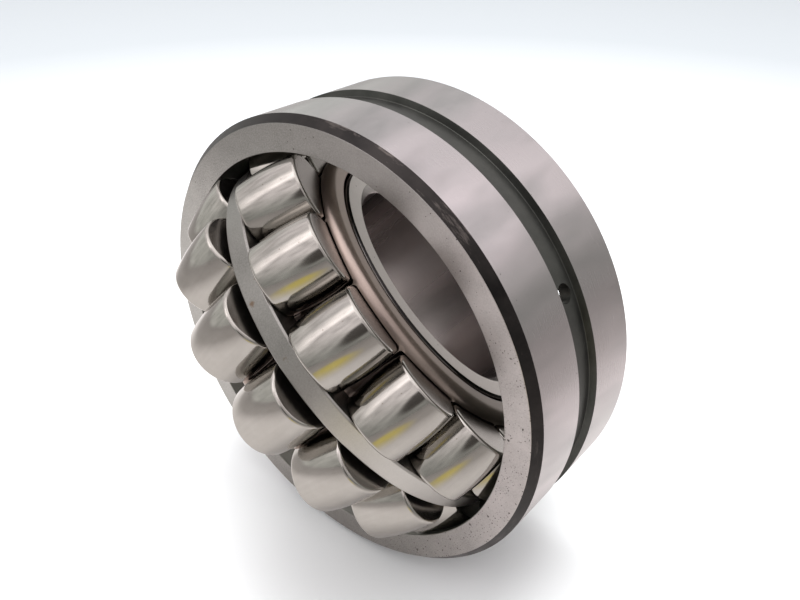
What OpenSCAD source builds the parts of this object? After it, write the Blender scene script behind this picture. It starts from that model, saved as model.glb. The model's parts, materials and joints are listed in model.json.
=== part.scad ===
// Double-row spherical roller bearing, standing on its rim with the inner half swivelled open.
// The origin is the centre of the raceway sphere. The outer ring turns about Y and +Z is up.
// Every ring section is drawn as [radius, distance along its own axis].

/* [Outer ring] */
// Outer diameter
outer_diameter = 160; // [158:0.5:170]
// Width of both rings
ring_width = 55; // [54:0.5:58]
// Radius of the raceway sphere that both rows of rollers run in
sphere_radius = 74; // [73.5:0.1:74.5]
// Chamfer of the outer edges, measured down the rim
outer_chamfer_radial = 2.4; // [1.5:0.1:3]
// Chamfer of the outer edges, measured along the axis
outer_chamfer_axial = 2.7; // [1.5:0.1:3.5]
// Small edge break where the raceway meets the side face
raceway_edge_break = 0.35; // [0.1:0.05:0.8]
// Width of the lubrication groove at the surface
groove_width = 10.4; // [8:0.2:14]
// Depth of the lubrication groove
groove_depth = 2.2; // [1:0.1:3]
// How far each side wall of the groove leans in
groove_wall_lean = 0.6; // [0:0.1:1.5]
// Number of lubrication holes in the groove
hole_count = 3; // [2:1:6]
// Diameter of a lubrication hole
hole_diameter = 6; // [3:0.5:7]
// Where the first hole sits, from +X towards +Z
first_hole_angle = 29; // [0:1:119]

/* [Inner ring] */
// Diameter of the shaft bore
bore_diameter = 75; // [70:0.5:78]
// Chamfer of the bore, measured across the face
bore_chamfer_radial = 2.9; // [1:0.1:3.2]
// Chamfer of the bore, measured along the axis
bore_chamfer_axial = 2.6; // [1:0.1:3.5]
// Edge break between the raceways and the side faces
shoulder_break = 0.6; // [0.2:0.1:1]
// Radius of the hollow that each inner raceway is ground to
inner_raceway_radius = 73.5; // [73:0.1:75]
// Width of the flat land between the two inner raceways
middle_land_width = 3; // [2:0.5:4]

/* [Rollers] */
// Rollers in one row
rollers_per_row = 15; // [12:1:15]
// Largest diameter of a roller
roller_diameter = 24; // [23.4:0.1:24.2]
// Length of a roller
roller_length = 21; // [20:0.1:21.2]
// Radius of the barrel curve along a roller
barrel_radius = 72; // [70:0.5:73]
// Chamfer at the ends of a roller
roller_chamfer = 1; // [0.5:0.1:1.4]
// Angle that the load line through a roller makes with the middle plane
contact_angle = 13; // [12.8:0.1:13.6]
// Gap between a roller and each raceway
running_gap = 0.15; // [0.1:0.05:0.25]

/* [Cages and guide ring] */
// Gap between a roller and its cage window
window_gap = 0.3; // [0.2:0.05:0.35]
// Outer radius of the cage wall between the rollers
cage_wall_radius = 54.4; // [54:0.1:54.6]
// Thickness of the cage wall
cage_wall = 3; // [2.4:0.1:3.1]
// Thickness of the flange that turns in towards the inner ring
cage_flange = 2.2; // [1.6:0.1:2.4]
// Radius of the bend between the cage wall and its flange
cage_bend = 3.4; // [2:0.1:4]
// Inner radius of the cage flange
cage_flange_radius = 47.3; // [47.2:0.1:48]
// Outer radius of the rim that carries the guide ring
cage_rim_radius = 55.85; // [55.6:0.05:55.9]
// Inner radius of the guide ring
guide_inner_radius = 56; // [55.95:0.05:56.1]
// Outer radius of the guide ring
guide_outer_radius = 69.2; // [67:0.1:71]
// Width of the guide ring at its outside
guide_outer_width = 7.5; // [6:0.1:7.8]
// Width of the guide ring at its bore
guide_inner_width = 2; // [1.6:0.1:2.2]
// How far the guide ring has slid along its axis, up against the front rollers
guide_shift = 1; // [0:0.1:1]

/* [Pose] */
// How far the inner half is swivelled away from the outer ring's axis
swivel_angle = 63; // [0:1:90]
// Which way the swivelled axis leans, from +X towards +Z
lean_direction = 48; // [0:1:359]
// Angle of the first front roller before the swivel, from +X towards +Z
front_row_phase = 23.3; // [0:0.1:30]
// Angle of the first back roller before the swivel, from +X towards +Z
back_row_phase = 18.2; // [0:0.1:30]

/* [Hidden] */
$fn = 96;
clear = 1;                                   // how far a cutter runs past what it cuts
FRONT = 1;
BACK = -1;
outer_radius = outer_diameter / 2;
bore_radius = bore_diameter / 2;
half_width = ring_width / 2;
roller_radius = roller_diameter / 2;
roller_pitch = 360 / rollers_per_row;
// Distance from the sphere's centre to a roller's centre, along the load line
roller_centre = sphere_radius - running_gap - roller_radius;
// Where the curve of an inner raceway has its centre, along the load line
inner_curve_centre = roller_centre - roller_radius - running_gap + inner_raceway_radius;
inner_curve_r = inner_curve_centre * cos(contact_angle);
inner_curve_y = inner_curve_centre * sin(contact_angle);
// Radius of the inner raceway at distance y from the middle plane
function raceway_r(y) =
    inner_curve_r - sqrt(pow(inner_raceway_radius, 2) - pow(inner_curve_y - y, 2));
shoulder_radius = raceway_r(half_width);
land_radius = raceway_r(middle_land_width / 2);
cage_half_gap = 0.25;                        // from the middle plane to the cage rim
cage_rim_width = 1.7;
cage_rim_bottom = 53.1;
cage_edge_margin = 0.4;                      // from the cage's flange to the plane of the side face
rim_slope = 1;                               // along the axis, from the rim's width to the thinner wall
rim_step = 2;                                // the same on the inside
bend_steps = 8;
guide_edge = 0.5;                            // edge break of the guide ring's rim

function row_name(side) = side == FRONT ? "front" : "back";
function roller_name(side, i) = str(row_name(side), "_roller_", i < 10 ? "0" : "", i);

// Turns a solid of revolution made about Z so that it lies about Y
module about_y() {
    rotate([-90, 0, 0]) rotate_extrude() children();
}

// Turns its children about Y, from +X towards +Z
module around_ring(angle) {
    rotate([0, -angle, 0]) children();
}

// Everything that swivels together inside the outer ring
module swivelled() {
    rotate(a = swivel_angle, v = [sin(lean_direction), 0, -cos(lean_direction)]) children();
}

// Moves its children to the first roller's place, with the roller's axis along local Z
module at_roller(side) {
    rotate([0, 0, side * contact_angle])
        translate([roller_centre, 0, 0])
            rotate([-90, 0, 0]) children();
}

module outer_section() {
    half_groove = groove_width / 2;
    half_floor = half_groove - groove_wall_lean;
    floor_radius = outer_radius - groove_depth;
    face_radius = outer_radius - outer_chamfer_radial;
    land_end = half_width - outer_chamfer_axial;
    opening = sqrt(pow(sphere_radius, 2) - pow(half_width, 2));
    inside = opening - clear * 4;
    difference() {
        polygon([
            [inside, -half_width], [face_radius, -half_width], [outer_radius, -land_end],
            [outer_radius, -half_groove], [floor_radius, -half_floor],
            [floor_radius, half_floor], [outer_radius, half_groove],
            [outer_radius, land_end], [face_radius, half_width], [inside, half_width]
        ]);
        circle(r = sphere_radius);
        for (end = [1, -1])
            polygon([
                [inside - clear, end * half_width],
                [opening + raceway_edge_break, end * half_width],
                [opening - clear, end * (half_width - raceway_edge_break - clear)],
                [inside - clear, end * (half_width - raceway_edge_break - clear)]
            ]);
    }
}

module outer_ring() {
    color("lightsteelblue")
        difference() {
            about_y() outer_section();
            for (i = [0:hole_count - 1])
                around_ring(first_hole_angle + i * 360 / hole_count)
                    translate([sphere_radius - clear * 3, 0, 0]) rotate([0, 90, 0])
                        cylinder(d = hole_diameter, h = outer_radius - sphere_radius + clear * 4);
        }
}

module inner_section() {
    face_radius = shoulder_radius - shoulder_break;
    difference() {
        polygon([
            [bore_radius, -half_width + bore_chamfer_axial],
            [bore_radius + bore_chamfer_radial, -half_width], [face_radius, -half_width],
            [shoulder_radius + clear, -half_width + shoulder_break + clear],
            [land_radius, -half_width / 2], [land_radius, half_width / 2],
            [shoulder_radius + clear, half_width - shoulder_break - clear],
            [face_radius, half_width], [bore_radius + bore_chamfer_radial, half_width],
            [bore_radius, half_width - bore_chamfer_axial]
        ]);
        for (side = [FRONT, BACK])
            translate([inner_curve_r, side * inner_curve_y]) circle(r = inner_raceway_radius, $fn = 180);
    }
}

module inner_ring() {
    color("gainsboro") swivelled() about_y() inner_section();
}

module guide_section() {
    outer_half = guide_outer_width / 2;
    inner_half = guide_inner_width / 2;
    polygon([
        [guide_inner_radius, -inner_half], [guide_outer_radius - guide_edge, -outer_half],
        [guide_outer_radius, -outer_half + guide_edge], [guide_outer_radius, outer_half - guide_edge],
        [guide_outer_radius - guide_edge, outer_half], [guide_inner_radius, inner_half]
    ]);
}

module guide_ring() {
    color("gray") swivelled() about_y() translate([0, guide_shift]) guide_section();
}

// The front cage's section: rim at the middle plane, wall under the rollers, bend and flange
module cage_section() {
    face = half_width - cage_edge_margin;
    flange_start = face - cage_flange;
    bend_centre = [cage_wall_radius - cage_bend, face - cage_bend];
    wall_bottom = cage_wall_radius - cage_wall;
    rim_end = cage_half_gap + cage_rim_width;
    polygon(concat(
        [
            [cage_flange_radius, flange_start], [wall_bottom - rim_slope, flange_start],
            [wall_bottom, flange_start - rim_slope], [wall_bottom, rim_end + rim_step],
            [cage_rim_bottom, cage_half_gap], [cage_rim_radius, cage_half_gap],
            [cage_rim_radius, rim_end], [cage_wall_radius, rim_end + rim_slope]
        ],
        [for (step = [0:bend_steps])
            bend_centre + cage_bend * [cos(90 * step / bend_steps), sin(90 * step / bend_steps)]],
        [[cage_flange_radius, face]]
    ));
}

// The space that one roller needs in a cage
module window_section() {
    radius = roller_radius + window_gap;
    half_length = roller_length / 2 + window_gap;
    corner = roller_chamfer;
    polygon([
        [0, -half_length], [radius - corner, -half_length], [radius, -half_length + corner],
        [radius, half_length - corner], [radius - corner, half_length], [0, half_length]
    ]);
}

module cage(side, phase) {
    swivelled()
        difference() {
            about_y() mirror([0, side == FRONT ? 0 : 1]) cage_section();
            for (i = [0:rollers_per_row - 1])
                around_ring(phase - i * roller_pitch) at_roller(side)
                    rotate_extrude() window_section();
        }
}

module front_cage() {
    color("rosybrown") cage(FRONT, front_row_phase);
}

module back_cage() {
    color("tan") cage(BACK, back_row_phase);
}

module roller_section() {
    half_length = roller_length / 2;
    // Radius of the barrel at the inner end of its chamfer
    end_radius = roller_radius - barrel_radius
        + sqrt(pow(barrel_radius, 2) - pow(half_length - roller_chamfer, 2));
    intersection() {
        translate([roller_radius - barrel_radius, 0]) circle(r = barrel_radius, $fn = 180);
        polygon([
            [0, -half_length], [end_radius - roller_chamfer, -half_length],
            [end_radius, -half_length + roller_chamfer],
            [roller_radius + clear, -half_length + 2 * roller_chamfer],
            [roller_radius + clear, half_length - 2 * roller_chamfer],
            [end_radius, half_length - roller_chamfer],
            [end_radius - roller_chamfer, half_length], [0, half_length]
        ]);
    }
}

module roller(side, phase, i) {
    color(side == FRONT ? "silver" : "darkgray")
        swivelled() around_ring(phase - (i - 1) * roller_pitch) at_roller(side)
            rotate_extrude() roller_section();
}

outer_ring();
inner_ring();
guide_ring();
front_cage();
back_cage();
for (i = [1:rollers_per_row]) {
    roller(FRONT, front_row_phase, i);
    roller(BACK, back_row_phase, i);
}
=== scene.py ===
"""Looks of a spherical roller bearing that stands on its rim with its inner half swivelled open.

Every ring is turned from a section drawn in millimetres as (radius, distance along its own axis), with its
corners rounded. The cages are built sector by sector, round their windows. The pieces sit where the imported
frame's joints put them.
"""
import math

import bmesh
import bpy
from mathutils import Matrix, Vector
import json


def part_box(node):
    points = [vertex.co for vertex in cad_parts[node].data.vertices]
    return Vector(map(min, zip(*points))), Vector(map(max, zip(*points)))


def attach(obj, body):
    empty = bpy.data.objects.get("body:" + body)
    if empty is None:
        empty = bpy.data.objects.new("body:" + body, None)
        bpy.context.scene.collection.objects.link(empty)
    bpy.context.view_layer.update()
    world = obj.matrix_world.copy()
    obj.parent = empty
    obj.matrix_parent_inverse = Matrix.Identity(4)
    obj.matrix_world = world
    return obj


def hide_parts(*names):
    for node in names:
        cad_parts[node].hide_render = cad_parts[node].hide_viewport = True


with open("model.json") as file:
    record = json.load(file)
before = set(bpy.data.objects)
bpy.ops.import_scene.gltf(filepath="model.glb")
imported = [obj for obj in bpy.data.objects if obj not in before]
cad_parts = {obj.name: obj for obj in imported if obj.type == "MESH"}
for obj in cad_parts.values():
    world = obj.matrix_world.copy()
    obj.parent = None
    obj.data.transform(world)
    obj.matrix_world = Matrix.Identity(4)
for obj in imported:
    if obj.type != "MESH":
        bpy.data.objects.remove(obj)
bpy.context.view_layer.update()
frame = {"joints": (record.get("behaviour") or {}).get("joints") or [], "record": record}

MM = 0.001
JOINTS = {joint["name"]: joint for joint in frame["joints"]}
MOUNTS = {mount["name"]: mount for mount in frame["record"]["mounts"]}
TURNED = "turned"  # the mesh attribute that holds each point's place before the piece was swivelled

# ---------------------------------------------------------------- sizes, in millimetres

OUTER_R = MOUNTS["housing_seat"]["dims"]["r_mm"]
BORE_R = MOUNTS["shaft_bore"]["dims"]["r_mm"]
HALF_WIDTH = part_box("outer_ring")[1].y / MM
SPHERE_R = 74.0
RACEWAY_R = SPHERE_R + 0.01  # just clear of the sphere
CHAMFER_RADIAL = 2.4
CHAMFER_AXIAL = 2.7
GROOVE_HALF = 5.2
GROOVE_FLOOR_HALF = 4.6
GROOVE_DEPTH = 2.2
FACE_EDGE = 0.35  # how far the raceway's edge is turned back at each face
CRISP = 0.12  # rounding of a ground edge
SOFT = 0.3  # rounding of an unground edge
RIM_EDGE = 0.25  # rounding between a chamfer and the rim
HOLE_R = 3.0
HOLE_DEPTH = 20.0
FIRST_HOLE_ANGLE = 29.0  # degrees
HOLE_COUNT = 3

BORE_CHAMFER_RADIAL = 2.9
BORE_CHAMFER_AXIAL = 2.6
INNER_RACEWAY_R = 73.5
RACEWAY_GAP = 0.15  # between a roller and the inner raceway
LAND_HALF = 1.5
SHOULDER_CHAMFER = 0.6
SHOULDER_ROUNDING = 0.15
MOUTH_ROUNDING = 0.35  # between a face and the bore's chamfer
BORE_ROUNDING = 1.2  # between that chamfer and the bore

ROLLER_R = 12.0
ROLLER_HALF = 10.5
ROLLER_CORNER = 1.1
BARREL_R = 72.0
ROLLERS_PER_ROW = 15
HALF_PITCH = math.pi / ROLLERS_PER_ROW  # radians

GUIDE_INNER_R = 56.0
GUIDE_OUTER_R = 69.2
GUIDE_OUTER_HALF = 3.75
GUIDE_INNER_HALF = 1.0
GUIDE_EDGE = 0.55  # how far its outer corners are cut back
GUIDE_ROUNDING = 0.35
GUIDE_SHIFT = 1.0  # slid along its axis, up against the front rollers

CAGE_GAP = 0.25
CAGE_FACE = HALF_WIDTH - 0.4
CAGE_RIM_R = 55.85
CAGE_RIM_END = 1.95  # along the axis, where the rim steps down
CAGE_STEP_END = 2.95
CAGE_WALL_R = 54.4
CAGE_BOTTOM_R = 51.4
CAGE_RIM_BOTTOM_R = 53.1
CAGE_BOTTOM_START = 3.95  # along the axis, where the rim's inside ends
CAGE_FLANGE_R = 47.3
CAGE_FLANGE = 2.2
CAGE_BEND = 3.4
WINDOW_R = 12.3
WINDOW_HALF = 10.8
WINDOW_CORNER = 1.4
WINDOW_MIDDLE = 13.0  # along the axis
WINDOWED_LOW = 0.6  # where the windowed stretch begins, along the axis
WINDOWED_HIGH = CAGE_FACE - CAGE_FLANGE - 0.5  # and where it ends
CAGE_EDGE = 0.3  # how far its edges are rounded
WELD = 0.002  # its points that lie closer than this are one

TABLE_R = 6000.0

# ---------------------------------------------------------------- fineness of the meshes

OUTER_RING_SEGMENTS = 288
RING_SEGMENTS = 240
ROLLER_SEGMENTS = 112
RACEWAY_STEPS = 48
INNER_RACEWAY_STEPS = 20
BARREL_STEPS = 10  # from the middle to each end
BORDER_STEPS = 20  # along each curved side of a cage's sector, with twice as many along each straight one
BORDER_RINGS = 4  # between a window's edge and its sector's border
HALVINGS = 26  # to find a window's edge

# ---------------------------------------------------------------- places

ABOUT_Y = Matrix.Rotation(math.radians(-90), 4, "X")
SPIN_AXIS = Vector(JOINTS["inner_ring_spin"]["axis"])
SWIVEL = Vector((0, 1, 0)).rotation_difference(SPIN_AXIS).to_matrix().to_4x4()
INNER_PLACE = SWIVEL @ ABOUT_Y


def roller_place(name):
    """The matrix that stands a roller made about Z in its place."""
    joint = JOINTS[name + "_spin"]
    turn = Vector(joint["axis"]).to_track_quat("Z", "Y").to_matrix().to_4x4()
    return Matrix.Translation(joint["pos_m"]) @ turn


# ---------------------------------------------------------------- materials


class Nodes:
    """Builds a node tree: add() makes a node, and values that are sockets are linked."""

    def __init__(self, owner):
        owner.use_nodes = True
        self.owner = owner
        self.tree = owner.node_tree

    @classmethod
    def of_steel(cls, name):
        """A material whose patterns lie in a piece's own turned frame, which settle() keeps in its mesh."""
        made = cls(bpy.data.materials.new(name))
        made.shader = made.tree.nodes["Principled BSDF"]
        made.place = made.add("Attribute", attribute_name=TURNED).outputs["Vector"]
        return made

    def put(self, socket, value):
        """Links or sets an input socket."""
        if isinstance(value, bpy.types.NodeSocket):
            self.tree.links.new(value, socket)
        else:
            socket.default_value = value

    def add(self, kind, inputs=None, **settings):
        """A new shader node."""
        node = self.tree.nodes.new("ShaderNode" + kind)
        for key, value in settings.items():
            setattr(node, key, value)
        for key, value in (inputs or {}).items():
            self.put(node.inputs[key], value)
        return node

    def math(self, operation, a, b=0.0, c=0.0):
        """The result of this operation on numbers."""
        return self.add("Math", {0: a, 1: b, 2: c}, operation=operation).outputs[0]

    def vector(self, operation, a, b, output=0):
        """The result of this operation on vectors."""
        return self.add("VectorMath", {0: a, 1: b}, operation=operation).outputs[output]

    def stretched(self, scale):
        """The place, scaled by a different amount along each axis."""
        return self.vector("MULTIPLY", self.place, scale)

    def noise(self, vector, scale=1.0, detail=2.0, roughness=0.5):
        """Cloudy noise about the middle of 0..1; `scale` is in patches per metre."""
        inputs = {"Vector": vector, "Scale": scale, "Detail": detail, "Roughness": roughness}
        return self.add("TexNoise", inputs).outputs["Fac"]

    def ramp(self, value, low, high, to_low=0.0, to_high=1.0):
        """Maps value from low..high to to_low..to_high, and stops there."""
        inputs = {"Value": value, "From Min": low, "From Max": high, "To Min": to_low, "To Max": to_high}
        return self.add("MapRange", inputs).outputs[0]

    def along(self, slope):
        """A number that grows across the piece along this slope, in units per metre."""
        return self.vector("DOT_PRODUCT", self.place, slope, "Value")

    def across(self, slope, low, high, to_low=0.0, to_high=1.0):
        """A slow change across the piece: along() mapped like ramp()."""
        return self.ramp(self.along(slope), low, high, to_low, to_high)

    def blend(self, share, first, second):
        """The first colour, with this share of the second."""
        node = self.add("Mix", data_type="RGBA")
        for index, value in ((0, share), (6, first), (7, second)):
            if isinstance(value, tuple) and len(value) == 3:
                value = (*value, 1.0)
            self.put(node.inputs[index], value)
        return node.outputs[2]

    def specks(self, size, share, edge=0.35):
        """1 inside sparse ragged dots about `size` mm across; `share` of the cells hold one."""
        ragged = self.add("TexNoise", {"Vector": self.place, "Scale": 1.6 / (size * MM), "Detail": 2.0})
        moved = self.vector("MULTIPLY", ragged.outputs["Color"], (size * MM,) * 3)
        cells = {"Vector": self.vector("ADD", self.place, moved), "Scale": 1 / (size * 3 * MM)}
        voronoi = self.add("TexVoronoi", cells)
        pick = self.add("SeparateColor", {0: voronoi.outputs["Color"]}).outputs
        reach = self.ramp(pick[1], 0.0, 1.0, edge * 0.35, edge)
        dot = self.ramp(self.math("SUBTRACT", voronoi.outputs["Distance"], reach), -0.08, 0.0, 1.0, 0.0)
        return self.math("MULTIPLY", dot, self.math("LESS_THAN", pick[0], share))

    def lie_along(self, axis):
        """Turns the shader's stretched highlights to lie along this axis of the piece."""
        spaces = {"convert_from": "OBJECT", "convert_to": "WORLD"}
        node = self.add("VectorTransform", {"Vector": axis}, vector_type="VECTOR", **spaces)
        self.put(self.shader.inputs["Tangent"], node.outputs[0])

    def bump(self, height, distance, strength=1.0, normal=None):
        """A normal bent by this height, which spans `distance` mm."""
        inputs = {"Height": height, "Distance": distance * MM, "Strength": strength}
        if normal is not None:
            inputs["Normal"] = normal
        return self.add("Bump", inputs).outputs[0]

    def finish(self, color, roughness, metallic=1.0, normal=None, **fixed):
        """Sets the shader and returns the material."""
        self.put(self.shader.inputs["Base Color"], (*color, 1.0) if isinstance(color, tuple) else color)
        self.put(self.shader.inputs["Roughness"], roughness)
        self.shader.inputs["Metallic"].default_value = metallic
        if normal is not None:
            self.put(self.shader.inputs["Normal"], normal)
        for key, value in fixed.items():
            self.shader.inputs[key].default_value = value
        return self.owner


# Slopes and places below are in a piece's turned frame. In a ring's, X is to the right, Y is down and Z is to
# the back.


def ground_rim():
    """Cylinder-ground steel: fine lines round the ring, soft light and dark bars across it, a painted
    highlight at the upper left and painted shade at the far right.
    """
    n = Nodes.of_steel("ground_rim")
    lines = n.noise(n.stretched((60, 60, 5200)), detail=3.0, roughness=0.6)
    height = n.add("SeparateXYZ", {0: n.place}).outputs[2]
    slanted = n.vector("ADD", n.place, n.vector("MULTIPLY", height, (0.25, -0.25, 0)))
    bars = n.noise(n.vector("MULTIPLY", slanted, (36, 36, 2.5)), detail=3.0, roughness=0.55)
    fine_bars = n.noise(n.vector("MULTIPLY", slanted, (150, 150, 9)), detail=3.0, roughness=0.6)
    wide = n.noise(n.place, scale=9, detail=2.0)
    dirt = n.specks(0.2, 0.01)
    # Painted highlight: the upper left made lighter. Painted shade: the far right made darker.
    painted_highlight_upper_left = n.across((-12.0, -6.0, 0.0), 0.35, 0.6, 0.0, 0.5)
    painted_shade_far_right = n.across((11.0, -5.9, 0.0), 0.955, 0.995, 0.0, 0.45)
    shade = n.blend(n.ramp(bars, 0.40, 0.58), (0.33, 0.325, 0.325), (0.60, 0.548, 0.563))
    shade = n.blend(n.ramp(fine_bars, 0.4, 0.7, 0.0, 0.3), shade, (0.57, 0.54, 0.553))
    shade = n.blend(n.ramp(wide, 0.4, 0.65, 0.0, 0.35), shade, (0.46, 0.447, 0.438))
    # The painted highlight at the upper left, then the painted shade at the far right.
    shade = n.blend(painted_highlight_upper_left, shade, (0.66, 0.665, 0.66))
    shade = n.blend(painted_shade_far_right, shade, (0.27, 0.255, 0.25))
    shade = n.blend(n.math("MULTIPLY", dirt, 0.75), shade, (0.06, 0.05, 0.045))
    roughness = n.ramp(n.math("ADD", bars, n.math("MULTIPLY", lines, 0.5)), 0.45, 1.05, 0.18, 0.30)
    n.lie_along((0, 1, 0))
    return n.finish(shade, roughness, normal=n.bump(lines, 0.003, 0.3), Anisotropic=0.5)


def ground_face():
    """Flat-ground side face: matt grey, blotchy, with dark pits that lie closer on one side, a pinkish
    painted reflection towards the right, painted shade along the top and painted light at the left edge.
    """
    n = Nodes.of_steel("ground_face")
    grain = n.noise(n.place, scale=2000, detail=4.0, roughness=0.75)
    blotch = n.noise(n.place, scale=110, detail=6.0, roughness=0.7)
    wide = n.noise(n.place, scale=14, detail=2.0)
    # Painted reflection: a lighter pinkish sheen towards the right, broken up by slow noise.
    painted_sheen_right = n.ramp(n.math("ADD", n.along((13.0, -6.0, 0.0)), wide), 0.5, 1.3)
    gathered = n.math("ADD", wide, n.math("MULTIPLY", n.math("SUBTRACT", blotch, 0.5), 1.6))
    worn_side = n.ramp(n.math("ADD", n.along((9.0, 6.0, 0.0)), gathered), 0.6, 1.25)
    # Painted shade along the top, and painted light at the left edge.
    top = n.across((-2.0, -14.0, 0.0), 0.72, 0.95, 0.0, 0.4)
    left = n.across((-14.0, 2.0, 0.0), 0.6, 0.9, 0.0, 0.25)
    many = n.math("MAXIMUM", n.math("MAXIMUM", n.specks(0.2, 0.42), n.specks(0.3, 0.16)), n.specks(0.5, 0.04))
    sparse = n.math("MAXIMUM", n.specks(0.26, 0.04), n.specks(1.0, 0.008, 0.32))
    pits = n.math("MAXIMUM", sparse, n.math("MULTIPLY", many, worn_side))
    shade = n.blend(n.ramp(blotch, 0.32, 0.68), (0.235, 0.232, 0.218), (0.34, 0.332, 0.315))
    pink = n.blend(n.ramp(blotch, 0.32, 0.68), (0.37, 0.342, 0.338), (0.50, 0.463, 0.458))
    # Lays on the pinkish painted reflection.
    shade = n.blend(painted_sheen_right, shade, pink)
    shade = n.blend(n.ramp(grain, 0.4, 0.66, 0.0, 0.75), shade, (0.53, 0.508, 0.495))
    # Painted shade along the top, then painted light at the left edge.
    shade = n.blend(top, shade, (0.12, 0.125, 0.115))
    shade = n.blend(left, shade, (0.53, 0.535, 0.51))
    shade = n.blend(n.math("MULTIPLY", pits, 0.85), shade, (0.06, 0.052, 0.045))
    roughness = n.math("ADD", n.ramp(wide, 0.35, 0.65, 0.33, 0.43), n.math("MULTIPLY", pits, 0.3))
    height = n.math("SUBTRACT", n.math("MULTIPLY", grain, 0.4), pits)
    return n.finish(shade, roughness, normal=n.bump(height, 0.03, 0.6))


def black_oxide(name, shade_low, shade_high, rough_low, rough_high, worn):
    """Unground steel left black from hardening, rubbed bright in places."""
    n = Nodes.of_steel(name)
    patches = n.noise(n.place, scale=90, detail=5.0, roughness=0.65)
    streaks = n.noise(n.stretched((120, 120, 1500)), detail=3.0)
    rubbed = n.ramp(n.noise(n.stretched((70, 70, 600)), detail=6.0, roughness=0.72), 0.66 - worn, 0.80 - worn)
    shade = n.blend(n.ramp(patches, 0.3, 0.7), shade_low, shade_high)
    most_at_the_top = n.across((5.0, -12.0, 0.0), 0.85, 1.03, 0.35, 0.95)
    shade = n.blend(n.math("MULTIPLY", rubbed, most_at_the_top), shade, (0.16, 0.14, 0.13))
    uneven = n.math("ADD", patches, n.math("MULTIPLY", streaks, 0.4))
    roughness = n.ramp(uneven, 0.5, 0.9, rough_low, rough_high)
    return n.finish(shade, roughness, metallic=0.8, normal=n.bump(streaks, 0.02, 0.4))


def honed_raceway(name, shade_low, shade_high, rough_low, rough_high, metallic=1.0):
    """Honed raceway steel, with fine lines round the ring and, where it isn't all metal, a film of oil."""
    n = Nodes.of_steel(name)
    lines = n.noise(n.stretched((40, 40, 3600)), detail=3.0, roughness=0.6)
    cloud = n.noise(n.place, scale=40, detail=3.0)
    shade = n.blend(n.ramp(cloud, 0.3, 0.7), shade_low, shade_high)
    shade = n.blend(n.ramp(lines, 0.3, 0.8, 0.0, 0.15), shade, (0.45, 0.44, 0.42))
    roughness = n.ramp(cloud, 0.3, 0.7, rough_low, rough_high)
    return n.finish(shade, roughness, metallic, n.bump(lines, 0.003, 0.3))


def roller_barrel():
    """Lapped rolling surface: almost a mirror, with faint rings and rare handling marks."""
    n = Nodes.of_steel("roller_barrel")
    rings = n.noise(n.stretched((30, 30, 2600)), detail=3.0, roughness=0.6)
    cloud = n.noise(n.place, scale=120, detail=4.0, roughness=0.6)
    marks = n.specks(0.3, 0.02)
    lobes = n.noise(n.stretched((420, 420, 14)), detail=3.0, roughness=0.6)
    shade = n.blend(n.ramp(cloud, 0.3, 0.7), (0.385, 0.368, 0.342), (0.445, 0.428, 0.40))
    shade = n.blend(n.ramp(lobes, 0.4, 0.7, 0.0, 0.25), shade, (0.30, 0.285, 0.268))
    shade = n.blend(n.math("MULTIPLY", marks, 0.6), shade, (0.16, 0.12, 0.08))
    roughness = n.ramp(n.math("ADD", cloud, n.math("MULTIPLY", rings, 0.4)), 0.5, 0.9, 0.09, 0.17)
    wavy = n.bump(lobes, 0.02, 0.35)
    return n.finish(shade, roughness, normal=n.bump(rings, 0.002, 0.2, wavy))


def roller_end():
    """Face-ground roller end: satin brown-grey, with fine turning rings."""
    n = Nodes.of_steel("roller_end")
    parts = n.add("SeparateXYZ", {0: n.place}).outputs
    flat = n.add("CombineXYZ", {0: parts[0], 1: parts[1]}).outputs[0]
    reach = n.add("VectorMath", {0: flat}, operation="LENGTH").outputs["Value"]
    outward = n.add("CombineXYZ", {0: n.math("MULTIPLY", reach, 3200)}).outputs[0]
    rings = n.noise(outward, detail=3.0, roughness=0.6)
    cloud = n.noise(n.place, scale=160, detail=4.0, roughness=0.6)
    shade = n.blend(n.ramp(cloud, 0.3, 0.7), (0.25, 0.23, 0.21), (0.34, 0.32, 0.30))
    shade = n.blend(n.ramp(rings, 0.35, 0.75, 0.0, 0.3), shade, (0.40, 0.38, 0.365))
    return n.finish(shade, n.ramp(cloud, 0.3, 0.7, 0.19, 0.28), normal=n.bump(rings, 0.004, 0.5))


def inner_face():
    """Fine-ground inner ring face."""
    n = Nodes.of_steel("inner_face")
    grain = n.noise(n.place, scale=2200, detail=3.0, roughness=0.65)
    blotch = n.noise(n.place, scale=70, detail=4.0)
    pits = n.specks(0.3, 0.03)
    shade = n.blend(n.ramp(blotch, 0.3, 0.7), (0.60, 0.565, 0.54), (0.70, 0.66, 0.635))
    shade = n.blend(n.ramp(grain, 0.35, 0.75, 0.0, 0.4), shade, (0.76, 0.725, 0.70))
    shade = n.blend(n.math("MULTIPLY", pits, 0.7), shade, (0.12, 0.10, 0.09))
    return n.finish(shade, n.ramp(blotch, 0.3, 0.7, 0.42, 0.5), normal=n.bump(grain, 0.01, 0.5))


def bore_steel():
    """Ground bore: satin, with soft bars along the axis, and painted shade at the left."""
    n = Nodes.of_steel("bore_steel")
    lines = n.noise(n.stretched((80, 80, 4200)), detail=3.0, roughness=0.6)
    bars = n.noise(n.stretched((46, 46, 3.0)), detail=3.0, roughness=0.5)
    shade = n.blend(n.ramp(bars, 0.3, 0.7), (0.30, 0.265, 0.26), (0.45, 0.405, 0.40))
    shade = n.blend(n.ramp(lines, 0.3, 0.8, 0.0, 0.2), shade, (0.48, 0.45, 0.44))
    # Painted shade: darker near a point at the bore's left, fading out by about 24 mm from it.
    from_painted_shade_centre = n.vector("DISTANCE", n.place, (-0.038, 0.006, 0.008), "Value")
    shade = n.blend(n.ramp(from_painted_shade_centre, 0.006, 0.024, 0.55, 0.0), shade, (0.11, 0.10, 0.095))
    roughness = n.ramp(bars, 0.3, 0.7, 0.24, 0.34)
    n.lie_along(tuple(SPIN_AXIS))
    return n.finish(shade, roughness, normal=n.bump(lines, 0.003, 0.3), Anisotropic=0.5)


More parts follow.
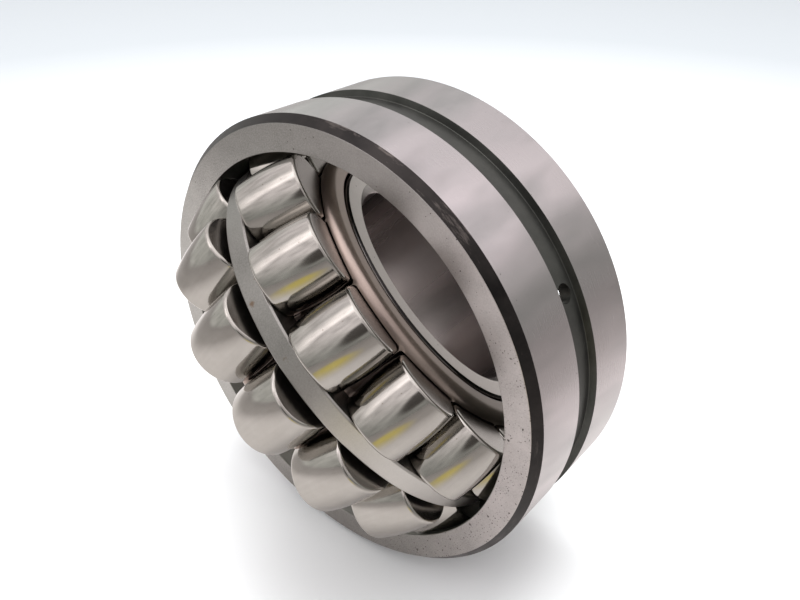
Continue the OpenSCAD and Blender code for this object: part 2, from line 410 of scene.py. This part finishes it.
def pressed_cage():
    """Pressed and phosphated sheet steel: satin brown-grey, with patches, painted shade towards the bottom,
    and fine drawing marks.
    """
    n = Nodes.of_steel("pressed_cage")
    patches = n.noise(n.place, scale=60, detail=5.0, roughness=0.62)
    grain = n.noise(n.place, scale=1500, detail=3.0, roughness=0.7)
    drawn = n.noise(n.stretched((90, 90, 700)), detail=3.0)
    shade = n.blend(n.ramp(patches, 0.25, 0.75), (0.33, 0.265, 0.235), (0.42, 0.345, 0.305))
    shade = n.blend(n.ramp(grain, 0.4, 0.8, 0.0, 0.3), shade, (0.50, 0.42, 0.38))
    # Painted shade: darker towards the bottom.
    painted_shade_below = n.across((6.0, 22.0, 0.0), -0.35, 0.2, 0.0, 0.6)
    shade = n.blend(painted_shade_below, shade, (0.11, 0.11, 0.10))
    roughness = n.ramp(n.math("ADD", patches, n.math("MULTIPLY", grain, 0.3)), 0.4, 0.9, 0.27, 0.37)
    height = n.math("ADD", n.math("MULTIPLY", grain, 0.4), drawn)
    return n.finish(shade, roughness, metallic=0.95, normal=n.bump(height, 0.006, 0.3))


def guide_iron():
    """Turned iron guide ring: satin grey, with brown stains here and there, two larger drops, and painted
    light towards the lower right.
    """
    n = Nodes.of_steel("guide_iron")
    grain = n.noise(n.place, scale=2300, detail=4.0, roughness=0.7)
    blotch = n.noise(n.place, scale=45, detail=4.0, roughness=0.6)
    turned_lines = n.noise(n.stretched((50, 50, 2400)), detail=3.0)
    ragged = n.noise(n.place, scale=900, detail=4.0)
    drops = []
    for middle, size in (((27.6, -63.4, -0.4), 1.9), ((69.2, 0.5, 3.6), 1.2)):
        away = n.vector("DISTANCE", n.place, tuple(value * MM for value in middle), "Value")
        away = n.math("MULTIPLY_ADD", ragged, size * MM, away)
        drops.append(n.ramp(away, 0.7 * size * MM, 1.1 * size * MM, 1.0, 0.0))
    stain = n.math("MULTIPLY", n.specks(1.5, 0.1, 0.34), n.ramp(ragged, 0.35, 0.6))
    stain = n.math("MAXIMUM", stain, n.math("MAXIMUM", *drops))
    shade = n.blend(n.ramp(blotch, 0.3, 0.7), (0.20, 0.194, 0.184), (0.29, 0.281, 0.268))
    shade = n.blend(n.ramp(grain, 0.35, 0.75, 0.0, 0.7), shade, (0.40, 0.388, 0.37))
    # Painted light: lighter towards the lower right.
    painted_light_lower_right = n.across((12.0, 10.0, 0.0), -0.1, 0.7, 0.0, 0.6)
    shade = n.blend(painted_light_lower_right, shade, (0.60, 0.58, 0.55))
    shade = n.blend(n.math("MULTIPLY", stain, 0.75), shade, (0.17, 0.105, 0.06))
    roughness = n.ramp(blotch, 0.3, 0.7, 0.28, 0.38)
    height = n.math("ADD", n.math("MULTIPLY", grain, 0.4), n.math("MULTIPLY", turned_lines, 0.5))
    return n.finish(shade, roughness, normal=n.bump(height, 0.008, 0.4))


MATERIALS = {
    "rim": ground_rim(),
    "face": ground_face(),
    "chamfer": black_oxide(
        "chamfer_oxide", (0.012, 0.011, 0.011), (0.034, 0.030, 0.029),
        rough_low=0.28, rough_high=0.42, worn=0.1
    ),
    "groove": black_oxide(
        "groove_oxide", (0.049, 0.051, 0.047), (0.086, 0.088, 0.081),
        rough_low=0.30, rough_high=0.42, worn=-0.1
    ),
    "outer_raceway": honed_raceway(
        "outer_raceway", (0.20, 0.20, 0.18), (0.27, 0.27, 0.245),
        rough_low=0.26, rough_high=0.36, metallic=0.6
    ),
    "inner_raceway": honed_raceway(
        "inner_raceway", (0.18, 0.172, 0.165), (0.25, 0.24, 0.23), rough_low=0.16, rough_high=0.26
    ),
    "inner_face": inner_face(),
    "bore": bore_steel(),
    "bore_edge": honed_raceway(
        "bore_edge", (0.16, 0.15, 0.14), (0.24, 0.225, 0.21), rough_low=0.24, rough_high=0.32
    ),
    "barrel": roller_barrel(),
    "end": roller_end(),
    "cage": pressed_cage(),
    "guide": guide_iron(),
}

# ---------------------------------------------------------------- turned shapes


def rounded(corners, steps=3):
    """A closed outline and one finish for each of its stretches.

    corners holds (radius, axial, rounding, finish of the stretch that leaves the corner). A rounding of 0
    keeps the corner as it is.
    """
    points = []
    finishes = []
    count = len(corners)
    for index, (r, z, rounding, finish) in enumerate(corners):
        here = Vector((r, z))
        if rounding == 0:
            points.append(here)
            finishes.append(finish)
            continue
        back = (Vector(corners[index - 1][:2]) - here).normalized()
        ahead = (Vector(corners[(index + 1) % count][:2]) - here).normalized()
        half = back.angle(ahead) / 2
        reach = rounding / math.tan(half)
        centre = here + (back + ahead).normalized() * (rounding / math.sin(half))
        first = here + back * reach - centre
        last = here + ahead * reach - centre
        turn = first.angle_signed(last)
        for step in range(steps + 1):
            angle = -turn * step / steps
            points.append(centre + Matrix.Rotation(angle, 2) @ first)
            finishes.append(finish)
    return points, finishes


def arc(centre, radius, start, stop, steps):
    """Points on an arc; start and stop are in degrees, from the radius direction towards the axis."""
    angles = [math.radians(start + (stop - start) * step / steps) for step in range(steps + 1)]
    return [(centre[0] + radius * math.cos(a), centre[1] + radius * math.sin(a)) for a in angles]


def add_finishes(mesh, names):
    """Puts these finishes in the mesh's slots and returns the slot number of each."""
    for name in names:
        mesh.materials.append(MATERIALS[name])
    return {name: slot for slot, name in enumerate(names)}


def turned(name, points, finishes, segments):
    """A closed ring turned about Z from an outline in millimetres."""
    mesh = bpy.data.meshes.new(name)
    slots = add_finishes(mesh, sorted(set(finishes)))
    build = bmesh.new()
    rings = []
    for step in range(segments):
        angle = 2 * math.pi * step / segments
        across = Vector((math.cos(angle), math.sin(angle), 0))
        rings.append([build.verts.new((across * r + Vector((0, 0, z))) * MM) for r, z in points])
    for step in range(segments):
        here = rings[step]
        after = rings[(step + 1) % segments]
        for index in range(len(points)):
            following = (index + 1) % len(points)
            face = build.faces.new((here[index], after[index], after[following], here[following]))
            face.material_index = slots[finishes[index]]
            face.smooth = True
    bmesh.ops.recalc_face_normals(build, faces=build.faces)
    build.to_mesh(mesh)
    build.free()
    return bpy.data.objects.new(name, mesh)


def settle(piece, place, body, node):
    """Moves a piece's mesh to its place, evens its shading, gives it to a body, and hides the CAD node that
    it stands in for.
    """
    bpy.context.scene.collection.objects.link(piece)
    kept = piece.data.attributes.new(TURNED, "FLOAT_VECTOR", "POINT")
    kept.data.foreach_set("vector", [number for vertex in piece.data.vertices for number in vertex.co])
    piece.data.transform(place)
    even = piece.modifiers.new("even_shading", "WEIGHTED_NORMAL")
    even.keep_sharp = True
    even.weight = 100  # the larger face decides
    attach(piece, body)
    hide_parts(node)
    return piece


def outer_ring():
    """The outer ring: a spherical raceway, two flat faces, chamfers, and a groove round the rim."""
    opening = math.sqrt(SPHERE_R**2 - HALF_WIDTH**2) + FACE_EDGE
    edge_angle = math.degrees(math.asin((HALF_WIDTH - FACE_EDGE) / SPHERE_R))
    raceway = arc((0, 0), RACEWAY_R, -edge_angle, edge_angle, RACEWAY_STEPS)
    floor_r = OUTER_R - GROOVE_DEPTH
    face_r = OUTER_R - CHAMFER_RADIAL
    land_end = HALF_WIDTH - CHAMFER_AXIAL
    corners = [(r, z, 0, "outer_raceway") for r, z in raceway]
    corners += [
        (opening, HALF_WIDTH, CRISP, "face"), (face_r, HALF_WIDTH, SOFT, "chamfer"),
        (OUTER_R, land_end, RIM_EDGE, "rim"), (OUTER_R, GROOVE_HALF, CRISP, "groove"),
        (floor_r, GROOVE_FLOOR_HALF, SOFT, "groove"), (floor_r, -GROOVE_FLOOR_HALF, SOFT, "groove"),
        (OUTER_R, -GROOVE_HALF, CRISP, "rim"), (OUTER_R, -land_end, RIM_EDGE, "chamfer"),
        (face_r, -HALF_WIDTH, SOFT, "face"), (opening, -HALF_WIDTH, CRISP, "outer_raceway"),
    ]
    piece = turned("outer_ring_shell", *rounded(corners), OUTER_RING_SEGMENTS)
    drill_holes(piece)
    return settle(piece, ABOUT_Y, "outer_ring", "outer_ring")


def drill_holes(piece):
    """Cuts the lubrication holes. The cutters exist only until the cut is applied."""
    bpy.context.scene.collection.objects.link(piece)
    build = bmesh.new()
    for hole in range(HOLE_COUNT):
        angle = -math.radians(FIRST_HOLE_ANGLE + hole * 360 / HOLE_COUNT)
        place = Matrix.Rotation(angle, 4, "Z") @ Matrix.Translation((OUTER_R * MM, 0, 0))
        place = place @ Matrix.Rotation(math.radians(90), 4, "Y")
        bmesh.ops.create_cone(
            build, cap_ends=True, segments=48, radius1=HOLE_R * MM, radius2=HOLE_R * MM,
            depth=HOLE_DEPTH * MM, matrix=place,
        )
    mesh = bpy.data.meshes.new("hole_cutters")
    build.to_mesh(mesh)
    build.free()
    mesh.materials.append(MATERIALS["groove"])
    cutter = bpy.data.objects.new("hole_cutters", mesh)
    bpy.context.scene.collection.objects.link(cutter)
    cut = piece.modifiers.new("holes", "BOOLEAN")
    cut.object = cutter
    cut.operation = "DIFFERENCE"
    cut.solver = "EXACT"
    cut.material_mode = "TRANSFER"
    depsgraph = bpy.context.evaluated_depsgraph_get()
    drilled = bpy.data.meshes.new_from_object(piece.evaluated_get(depsgraph))
    piece.modifiers.clear()
    piece.data = drilled
    bpy.data.objects.remove(cutter)
    bpy.context.scene.collection.objects.unlink(piece)


def inner_ring():
    """The inner ring: a bore with wide chamfers, and a hollow raceway for each row with a land between."""
    centre = INNER_PLACE.inverted() @ Vector(JOINTS["front_roller_01_spin"]["pos_m"])
    along = centre.z / MM
    across = math.hypot(centre.x, centre.y) / MM
    reach = math.hypot(along, across)
    curve = (reach - ROLLER_R - RACEWAY_GAP + INNER_RACEWAY_R) / reach
    curve_r = across * curve
    curve_z = along * curve

    def raceway(z):
        return curve_r - math.sqrt(INNER_RACEWAY_R**2 - (curve_z - z) ** 2)

    length = HALF_WIDTH - SHOULDER_CHAMFER - LAND_HALF
    run = [LAND_HALF + length * step / INNER_RACEWAY_STEPS for step in range(INNER_RACEWAY_STEPS + 1)]
    end_r = raceway(run[-1])
    above = [(raceway(z), z, 0, "inner_raceway") for z in run[:-1]]
    below = [(r, -z, 0, "inner_raceway") for r, z, _, _ in reversed(above)]
    shoulder = raceway(HALF_WIDTH) - SHOULDER_CHAMFER
    bore_edge = HALF_WIDTH - BORE_CHAMFER_AXIAL
    mouth_r = BORE_R + BORE_CHAMFER_RADIAL
    corners = [(end_r, -run[-1], 0, "inner_raceway"), *below, *above, (end_r, run[-1], 0, "chamfer")]
    corners += [
        (shoulder, HALF_WIDTH, SHOULDER_ROUNDING, "inner_face"),
        (mouth_r, HALF_WIDTH, MOUTH_ROUNDING, "bore_edge"),
        (BORE_R, bore_edge, BORE_ROUNDING, "bore"), (BORE_R, -bore_edge, BORE_ROUNDING, "bore_edge"),
        (mouth_r, -HALF_WIDTH, MOUTH_ROUNDING, "inner_face"),
        (shoulder, -HALF_WIDTH, SHOULDER_ROUNDING, "chamfer"),
    ]
    piece = turned("inner_ring_turned", *rounded(corners, 4), RING_SEGMENTS)
    return settle(piece, INNER_PLACE, "inner_ring", "inner_ring")


def guide_ring():
    """The loose ring between the rows, wider towards its outside."""
    high = GUIDE_SHIFT + GUIDE_OUTER_HALF
    low = GUIDE_SHIFT - GUIDE_OUTER_HALF
    outline = [
        (GUIDE_INNER_R, GUIDE_SHIFT - GUIDE_INNER_HALF), (GUIDE_OUTER_R - GUIDE_EDGE, low),
        (GUIDE_OUTER_R, low + GUIDE_EDGE), (GUIDE_OUTER_R, high - GUIDE_EDGE),
        (GUIDE_OUTER_R - GUIDE_EDGE, high), (GUIDE_INNER_R, GUIDE_SHIFT + GUIDE_INNER_HALF),
    ]
    corners = [(r, z, GUIDE_ROUNDING, "guide") for r, z in outline]
    piece = turned("guide_ring_turned", *rounded(corners), RING_SEGMENTS)
    return settle(piece, INNER_PLACE, "guide_ring", "guide_ring")


# ---------------------------------------------------------------- rollers


def roller_outline():
    """A roller's (radius, z) points, from the innermost ring of one end face to that of the other."""
    corner = ROLLER_CORNER
    barrel_half = ROLLER_HALF - corner
    barrel = [step * barrel_half / BARREL_STEPS for step in range(-BARREL_STEPS, BARREL_STEPS + 1)]
    profile = [(ROLLER_R - BARREL_R + math.sqrt(BARREL_R**2 - z**2), z) for z in barrel]
    shoulder = profile[-1][0]
    bend = arc((shoulder - corner, barrel_half), corner, 0, 90, 5)[1:]
    disc = [(r, ROLLER_HALF) for r in (shoulder - corner - 2, 5, 1.5)]
    below = [(r, -z) for r, z in reversed(bend + disc)]
    return below + profile + bend + disc


def roller_mesh():
    """One barrel roller about Z, which each roller copies."""
    segments = ROLLER_SEGMENTS
    angles = [2 * math.pi * step / segments for step in range(segments)]
    mesh = bpy.data.meshes.new("barrel_roller")
    slots = add_finishes(mesh, ["barrel", "end"])
    build = bmesh.new()
    rings = []
    for r, z in roller_outline():
        rings.append([build.verts.new((r * math.cos(a) * MM, r * math.sin(a) * MM, z * MM)) for a in angles])
    for low, high in zip(rings, rings[1:]):
        flat = abs(low[0].co.z - high[0].co.z) < 1e-7
        for step in range(segments):
            after = (step + 1) % segments
            face = build.faces.new((low[step], low[after], high[after], high[step]))
            face.material_index = slots["end" if flat else "barrel"]
            face.smooth = True
    for ring, z in ((rings[0], -ROLLER_HALF), (rings[-1], ROLLER_HALF)):
        middle = build.verts.new((0, 0, z * MM))
        for step in range(segments):
            face = build.faces.new((ring[step], ring[(step + 1) % segments], middle))
            face.material_index = slots["end"]
            face.smooth = True
    bmesh.ops.recalc_face_normals(build, faces=build.faces)
    build.to_mesh(mesh)
    build.free()
    return mesh


def rollers():
    """Every roller of both rows, each with a mesh of its own."""
    mesh = roller_mesh()
    for row in ("front", "back"):
        for number in range(1, ROLLERS_PER_ROW + 1):
            name = f"{row}_roller_{number:02d}"
            piece = bpy.data.objects.new(name + "_lapped", mesh.copy())
            settle(piece, roller_place(name), name, name)


# ---------------------------------------------------------------- cages


def line_through(points, z):
    """The radius at z on a line of (z, radius) points."""
    for (z0, r0), (z1, r1) in zip(points, points[1:]):
        if z <= z1:
            return r0 + (r1 - r0) * (z - z0) / (z1 - z0)
    return points[-1][1]


def cage_top(z):
    """The radius of the cage's outside at z, from the rim past the step to the bend at the face."""
    bend_start = CAGE_FACE - CAGE_BEND
    if z > bend_start:
        return CAGE_WALL_R - CAGE_BEND + math.sqrt(CAGE_BEND**2 - (z - bend_start) ** 2)
    return line_through([(0, CAGE_RIM_R), (CAGE_RIM_END, CAGE_RIM_R), (CAGE_STEP_END, CAGE_WALL_R)], z)


def cage_bottom(z):
    """The radius of the cage's inside at z."""
    flange = CAGE_FACE - CAGE_FLANGE
    line = [
        (CAGE_GAP, CAGE_RIM_BOTTOM_R), (CAGE_BOTTOM_START, CAGE_BOTTOM_R),
        (flange - 1, CAGE_BOTTOM_R), (flange, CAGE_BOTTOM_R - 1),
    ]
    return line_through(line, z)


def cage_middle(z):
    """The radius half-way through the cage's wall at z."""
    return (cage_top(z) + cage_bottom(z)) / 2


def on_surface(surface, z, angle):
    """The point at this z and angle on a surface of the cage, in millimetres."""
    r = surface(z)
    return Vector((r * math.cos(angle), r * math.sin(angle), z))


def in_window(point, across, along, lean):
    """Whether a point in the cage, in millimetres, lies in the room that the roller needs.

    The roller's middle is `across` out from the axis and `along` it, and `lean` is its tilt.
    """
    offset = point - Vector((across, 0, along))
    axis = Vector((-math.sin(lean), 0, math.cos(lean)))
    t = abs(offset.dot(axis))
    q = (offset - axis * offset.dot(axis)).length
    if t > WINDOW_HALF or q > WINDOW_R:
        return False
    beyond_t = t - (WINDOW_HALF - WINDOW_CORNER)
    beyond_q = q - (WINDOW_R - WINDOW_CORNER)
    return beyond_t < 0 or beyond_q < 0 or math.hypot(beyond_t, beyond_q) < WINDOW_CORNER


def sector_border():
    """Points round one sector of a cage, as (share of the half pitch, z)."""
    low = WINDOWED_LOW
    high = WINDOWED_HIGH
    curved = [2 * step / BORDER_STEPS for step in range(BORDER_STEPS)]
    straight = [(high - low) * step / (BORDER_STEPS * 2) for step in range(BORDER_STEPS * 2)]
    border = [(-1 + share, low) for share in curved]
    border += [(1, low + rise) for rise in straight]
    border += [(1 - share, high) for share in curved]
    border += [(-1, high - rise) for rise in straight]
    return border


def between(border_point, t):
    """The (z, angle) at t, from 0 in the middle of the window to 1 at this point of the sector's border."""
    share, z_end = border_point
    return WINDOW_MIDDLE + (z_end - WINDOW_MIDDLE) * t, share * HALF_PITCH * t


def window_edge(surface, border_point, is_open):
    """How far the window reaches towards a point of the border, found by halving."""
    inside, outside = 0.0, 1.0
    for _ in range(HALVINGS):
        tried = (inside + outside) / 2
        if is_open(on_surface(surface, *between(border_point, tried))):
            inside = tried
        else:
            outside = tried
    return inside


def window_columns(surface, is_open):
    """Columns of (z, angle) on a surface, each from the window's edge out to the sector's border."""
    columns = []
    for border_point in sector_border():
        start = window_edge(surface, border_point, is_open)
        reach = [start + (1 - start) * ring / BORDER_RINGS for ring in range(BORDER_RINGS + 1)]
        columns.append([between(border_point, t) for t in reach])
    return columns


def add_sectors(build, side, first_angle, is_open):
    """The cage's windowed stretch: an outer and an inner sheet, joined by the walls of the windows."""
    columns = {surface: window_columns(surface, is_open) for surface in (cage_top, cage_middle, cage_bottom)}

    def vert(surface, base, place):
        p = on_surface(surface, place[0], base + place[1])
        return build.verts.new((p.x * MM, p.y * MM, p.z * side * MM))

    for sector in range(ROLLERS_PER_ROW):
        base = first_angle + sector * 2 * HALF_PITCH
        top = [[vert(cage_top, base, place) for place in column] for column in columns[cage_top]]
        bottom = [[vert(cage_bottom, base, place) for place in column] for column in columns[cage_bottom]]
        wall = [vert(cage_middle, base, column[0]) for column in columns[cage_middle]]
        for index in range(len(wall)):
            after = (index + 1) % len(wall)
            for sheet in (top, bottom):
                here = sheet[index]
                there = sheet[after]
                for ring in range(BORDER_RINGS):
                    build.faces.new((here[ring], there[ring], there[ring + 1], here[ring + 1]))
            build.faces.new((top[index][0], top[after][0], wall[after], wall[index]))
            build.faces.new((wall[index], wall[after], bottom[after][0], bottom[index][0]))


def add_strip(build, side, first_angle, outline):
    """An open run of (radius, z), turned with the sectors' own spacing."""
    around = ROLLERS_PER_ROW * BORDER_STEPS
    rows = []
    for step in range(around):
        angle = first_angle - HALF_PITCH + step * 2 * math.pi / around
        places = [(r * math.cos(angle) * MM, r * math.sin(angle) * MM, z * side * MM) for r, z in outline]
        rows.append([build.verts.new(place) for place in places])
    for step in range(around):
        here = rows[step]
        after = rows[(step + 1) % around]
        for index in range(len(outline) - 1):
            build.faces.new((here[index], after[index], after[index + 1], here[index + 1]))


def flange_outline():
    """From the windowed stretch round the bend, over the flange's rounded lip and back under it."""
    bend_centre = (CAGE_WALL_R - CAGE_BEND, CAGE_FACE - CAGE_BEND)
    start = math.degrees(math.asin((WINDOWED_HIGH - bend_centre[1]) / CAGE_BEND))
    lip = CAGE_FLANGE / 2
    outline = arc(bend_centre, CAGE_BEND, start, 90, 10)
    outline += arc((CAGE_FLANGE_R + lip, CAGE_FACE - lip), lip, 90, 270, 8)
    outline += [(CAGE_BOTTOM_R - 1, CAGE_FACE - CAGE_FLANGE), (cage_bottom(WINDOWED_HIGH), WINDOWED_HIGH)]
    return outline


def cage(row, side):
    """A pressed window cage: one sector with its window for each roller, then the rim and the flange."""
    centre = INNER_PLACE.inverted() @ Vector(JOINTS[f"{row}_roller_01_spin"]["pos_m"])
    across = math.hypot(centre.x, centre.y) / MM
    along = abs(centre.z) / MM
    lean = math.atan2(along, across)
    first_angle = math.atan2(centre.y, centre.x)
    mesh = bpy.data.meshes.new(f"{row}_cage_pressed")
    add_finishes(mesh, ["cage"])
    build = bmesh.new()
    add_sectors(build, side, first_angle, lambda point: in_window(point, across, along, lean))
    add_strip(build, side, first_angle, [
        (cage_top(WINDOWED_LOW), WINDOWED_LOW), (CAGE_RIM_R, CAGE_GAP), (CAGE_RIM_BOTTOM_R, CAGE_GAP),
        (cage_bottom(WINDOWED_LOW), WINDOWED_LOW),
    ])
    add_strip(build, side, first_angle, flange_outline())
    bmesh.ops.remove_doubles(build, verts=build.verts, dist=WELD * MM)
    bmesh.ops.recalc_face_normals(build, faces=build.faces)
    for face in build.faces:
        face.smooth = True
    build.to_mesh(mesh)
    build.free()
    piece = bpy.data.objects.new(f"{row}_cage_pressed", mesh)
    soften = piece.modifiers.new("soft_edges", "BEVEL")
    soften.width = CAGE_EDGE * MM
    soften.segments = 2
    soften.limit_method = "ANGLE"
    soften.angle_limit = math.radians(35)
    return settle(piece, INNER_PLACE, f"{row}_cage", f"{row}_cage")


# ---------------------------------------------------------------- stage

CAMERA_AZIMUTH = 39.92
CAMERA_ELEVATION = 31.45
CAMERA_PLACE = Vector((1.9248, -2.1826, 1.8912))  # in outer radii
WINDOW_AZIMUTH = -38.0  # of the window that the rollers mirror

# The room's colour by how far up the direction points: 0 is level or below, and 1 is straight up
ROOM_BY_HEIGHT = (
    (0.0, (0.46, 0.46, 0.44)), (0.14, (0.47, 0.47, 0.45)), (0.26, (0.66, 0.65, 0.63)),
    (0.42, (0.98, 0.94, 0.93)), (0.6, (1.2, 1.13, 1.14)), (0.82, (1.35, 1.27, 1.28)),
    (0.93, (1.75, 1.67, 1.68)), (1.0, (1.9, 1.84, 1.84)),
)
BRIGHTEST = ROOM_BY_HEIGHT[-1][1][0]

# (azimuth, elevation, inner and outer reach), all in degrees, then how much of the colour, and the colour
DIM_AREAS = (
    ((-55, 42, 5, 20), 0.45, (0.50, 0.51, 0.49)),  # beside the window
    ((-163, 38, 8, 30), 0.4, (0.52, 0.54, 0.53)),  # behind the bearing
    ((78, 28, 20, 38), 0.45, (0.2, 0.19, 0.18)),  # at the right
    ((38, 22, 12, 17), 0.92, (0.07, 0.06, 0.055)),  # someone standing at the front
)


def toward(azimuth, elevation=0.0):
    """The direction at this azimuth, from -Y towards +X, and this elevation, in degrees."""
    azimuth = math.radians(azimuth)
    elevation = math.radians(elevation)
    level = math.cos(elevation)
    return Vector((math.sin(azimuth) * level, -math.cos(azimuth) * level, math.sin(elevation)))


def camera():
    """The camera stands where the picture was taken: up and to the right of the ring's axis."""
    data = bpy.data.cameras.new("camera")
    data.lens = 35.35
    data.sensor_width = 36
    data.clip_start = 0.01
    item = bpy.data.objects.new("camera", data)
    place = CAMERA_PLACE * OUTER_R * MM
    turn = toward(CAMERA_AZIMUTH, CAMERA_ELEVATION).to_track_quat("Z", "Y")
    item.matrix_world = Matrix.Translation(place) @ turn.to_matrix().to_4x4()
    bpy.context.scene.collection.objects.link(item)
    bpy.context.scene.camera = item


def light(name, place, size, power, color):
    """A rectangular lamp that points at the origin, and that glossy surfaces don't mirror."""
    data = bpy.data.lights.new(name, "AREA")
    data.shape = "RECTANGLE"
    data.size, data.size_y = size
    data.energy = power
    data.color = color
    item = bpy.data.objects.new(name, data)
    turn = (-Vector(place)).to_track_quat("-Z", "Y")
    item.matrix_world = Matrix.Translation(place) @ turn.to_matrix().to_4x4()
    item.visible_glossy = False
    bpy.context.scene.collection.objects.link(item)


def white_table():
    """White where the camera sees it, fading far off.

    Reflections see it greyer, darkest away from the left, with a yellow patch beside the bearing.
    """
    n = Nodes(bpy.data.materials.new("white_table"))
    n.shader = n.tree.nodes["Principled BSDF"]
    n.place = n.add("TexCoord").outputs["Object"]
    to_the_left = n.vector("DISTANCE", n.place, (-0.13, -0.02, 0.0), "Value")
    mirrored = n.blend(n.ramp(to_the_left, 0.23, 0.42), (0.66, 0.65, 0.64), (0.33, 0.32, 0.31))
    oval = n.add("CombineXYZ", {0: n.along((0.8, 0.6, 0.0)), 1: n.along((-0.3, 0.4, 0.0))}).outputs[0]
    beside = n.vector("DISTANCE", oval, (0.0, -0.22, 0.0), "Value")
    mirrored = n.blend(n.ramp(beside, 0.05, 0.13, 0.8, 0.0), mirrored, (0.60, 0.51, 0.08))
    cloud = n.noise(n.place, scale=6, detail=3.0)
    near = n.blend(n.ramp(cloud, 0.3, 0.7), (0.88, 0.92, 0.93), (0.90, 0.94, 0.95))
    reach = n.add("VectorMath", {0: n.place}, operation="LENGTH").outputs["Value"]
    seen = n.blend(n.ramp(reach, 0.15, 0.8), near, (0.50, 0.55, 0.58))
    camera_sees = n.add("LightPath").outputs["Is Camera Ray"]
    return n.finish(n.blend(camera_sees, mirrored, seen), 0.6, metallic=0.0)


def floor():
    """A wide round table top that the bearing stands on."""
    mesh = bpy.data.meshes.new("table")
    build = bmesh.new()
    bmesh.ops.create_circle(build, cap_ends=True, segments=96, radius=TABLE_R * MM)
    build.to_mesh(mesh)
    build.free()
    mesh.materials.append(white_table())
    item = bpy.data.objects.new("table", mesh)
    item.location.z = -OUTER_R * MM
    bpy.context.scene.collection.objects.link(item)


def product(n, *values):
    """All these values multiplied together."""
    result = values[0]
    for value in values[1:]:
        result = n.math("MULTIPLY", result, value)
    return result


def within(n, way, azimuth, elevation, inner, outer):
    """1 up to `inner` degrees from this direction, and 0 from `outer` degrees on."""
    near = n.vector("DOT_PRODUCT", way, toward(azimuth, elevation), "Value")
    return n.ramp(near, math.cos(math.radians(outer)), math.cos(math.radians(inner)))


def room_by_height(n, height):
    """The room's colour at this height, as a share of its brightest."""
    ramp = n.add("ValToRGB", {0: height})
    points = ramp.color_ramp.elements
    while len(points) < len(ROOM_BY_HEIGHT):
        points.new(0.5)
    for point, (position, color) in zip(points, ROOM_BY_HEIGHT):
        point.position = position
        point.color = (*(value / BRIGHTEST for value in color), 1)
    return ramp.outputs[0]


def room_light(n, way, height):
    """How brightly the room shines in this direction: a tall window, a glow beside it, and some clutter."""
    clutter = n.noise(n.vector("MULTIPLY", way, (6, 6, 10)), detail=5.0, roughness=0.66)
    clutter = n.ramp(clutter, 0.3, 0.7, 0.62, 1.38)
    sideways = n.math("ABSOLUTE", n.vector("DOT_PRODUCT", way, toward(WINDOW_AZIMUTH + 90), "Value"))
    ahead = n.ramp(n.vector("DOT_PRODUCT", way, toward(WINDOW_AZIMUTH), "Value"), 0.1, 0.3)
    upright = product(n, n.ramp(height, 0.36, 0.5), n.ramp(height, 0.86, 0.96, 1.0, 0.0))
    window = product(n, n.ramp(sideways, 0.13, 0.27, 1.0, 0.0), ahead, upright)
    side_glow = product(n, within(n, way, -75, 0, 15, 75), n.ramp(height, 0.1, 0.42, 1.0, 0.0))
    lit = n.math("MULTIPLY_ADD", window, 0.95, 1.0)
    lit = n.math("MULTIPLY_ADD", side_glow, 0.8, lit)
    return product(n, lit, clutter, BRIGHTEST)


def surroundings():
    """A soft room with a tall window, dim areas, and someone standing at the front.

    The camera sees it as a pale backdrop.
    """
    world = bpy.data.worlds.new("room")
    bpy.context.scene.world = world
    n = Nodes(world)
    way = n.add("TexCoord").outputs["Generated"]
    height = n.add("SeparateXYZ", {0: way}).outputs[2]
    lit = room_light(n, way, height)
    lit = n.add("CombineXYZ", {0: lit, 1: lit, 2: lit}).outputs[0]
    walls = n.vector("MULTIPLY", room_by_height(n, height), lit)
    for area, share, color in DIM_AREAS:
        walls = n.blend(product(n, within(n, way, *area), share), walls, color)
    camera_sees = n.add("LightPath").outputs["Is Camera Ray"]
    background = n.tree.nodes["Background"]
    n.put(background.inputs[0], n.blend(camera_sees, walls, (0.95, 0.955, 0.96)))


def main():
    """Makes the stage, then every piece."""
    camera()
    surroundings()
    floor()
    light("window", place=(-0.50, -0.71, 0.85), size=(1.1, 0.65), power=0.8, color=(1.0, 0.985, 0.975))
    light("ceiling_lamp", place=(-0.05, 0.12, 1.3), size=(0.9, 0.7), power=14.5, color=(1.0, 0.99, 0.985))
    bpy.context.scene.view_settings.view_transform = "Standard"
    outer_ring()
    inner_ring()
    guide_ring()
    rollers()
    cage("front", 1)
    cage("back", -1)


main()
